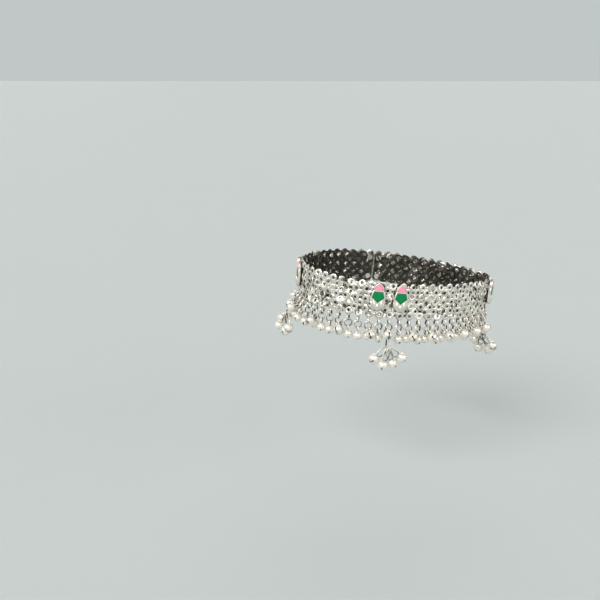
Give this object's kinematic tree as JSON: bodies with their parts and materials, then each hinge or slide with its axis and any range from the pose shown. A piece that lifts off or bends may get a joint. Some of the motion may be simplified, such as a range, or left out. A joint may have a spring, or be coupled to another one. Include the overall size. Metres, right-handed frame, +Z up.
{
  "type": "bell-fringed silver anklet",
  "caption": "Leaning oval anklet: woven metal mesh band with enamel drops, a fringe of small hollow bells on jump rings, and bell clusters on long links.",
  "frame": {"origin": "middle of the ankle opening, at half the height of the mesh", "axes": "+X towards the narrow heel end of the oval, -X the blunt instep end, -Y the side with the front cluster, +Z up along the leg"},
  "size_m": [0.1155, 0.083, 0.052],
  "materials": {
    "mesh_silver": "woven links of bright silver, greyer between the links",
    "ring_silver": "bright drawn silver wire",
    "bell_silver": "bright diamond-cut silver",
    "setting_silver": "polished fluted silver",
    "plain_silver": "plain satin silver",
    "pink_enamel": "glossy pink enamel",
    "green_enamel": "glossy green enamel"
  },
  "bodies": {
    "root": {"mesh_band": "mesh_silver", "clasp": "plain_silver", "jump_rings": "ring_silver", "fringe_bells": "bell_silver", "front_long_link": "ring_silver", "heel_long_link": "ring_silver", "instep_long_link": "ring_silver", "front_bell_1": "bell_silver", "front_bell_2": "bell_silver", "front_bell_3": "bell_silver", "front_bell_4": "bell_silver", "heel_bell_1": "bell_silver", "heel_bell_2": "bell_silver", "heel_bell_3": "bell_silver", "heel_bell_4": "bell_silver", "instep_bell_1": "bell_silver", "instep_bell_2": "bell_silver", "instep_bell_3": "bell_silver", "instep_bell_4": "bell_silver", "front_drop_a_setting": "setting_silver", "front_drop_b_setting": "setting_silver", "heel_drop_a_setting": "setting_silver", "heel_drop_b_setting": "setting_silver", "instep_drop_a_setting": "setting_silver", "instep_drop_b_setting": "setting_silver", "front_drop_a_pink_enamel": "pink_enamel", "front_drop_b_pink_enamel": "pink_enamel", "heel_drop_a_pink_enamel": "pink_enamel", "heel_drop_b_pink_enamel": "pink_enamel", "instep_drop_a_pink_enamel": "pink_enamel", "instep_drop_b_pink_enamel": "pink_enamel", "front_drop_a_green_enamel": "green_enamel", "front_drop_b_green_enamel": "green_enamel", "heel_drop_a_green_enamel": "green_enamel", "heel_drop_b_green_enamel": "green_enamel", "instep_drop_a_green_enamel": "green_enamel", "instep_drop_b_green_enamel": "green_enamel"}
  },
  "joints": []
}
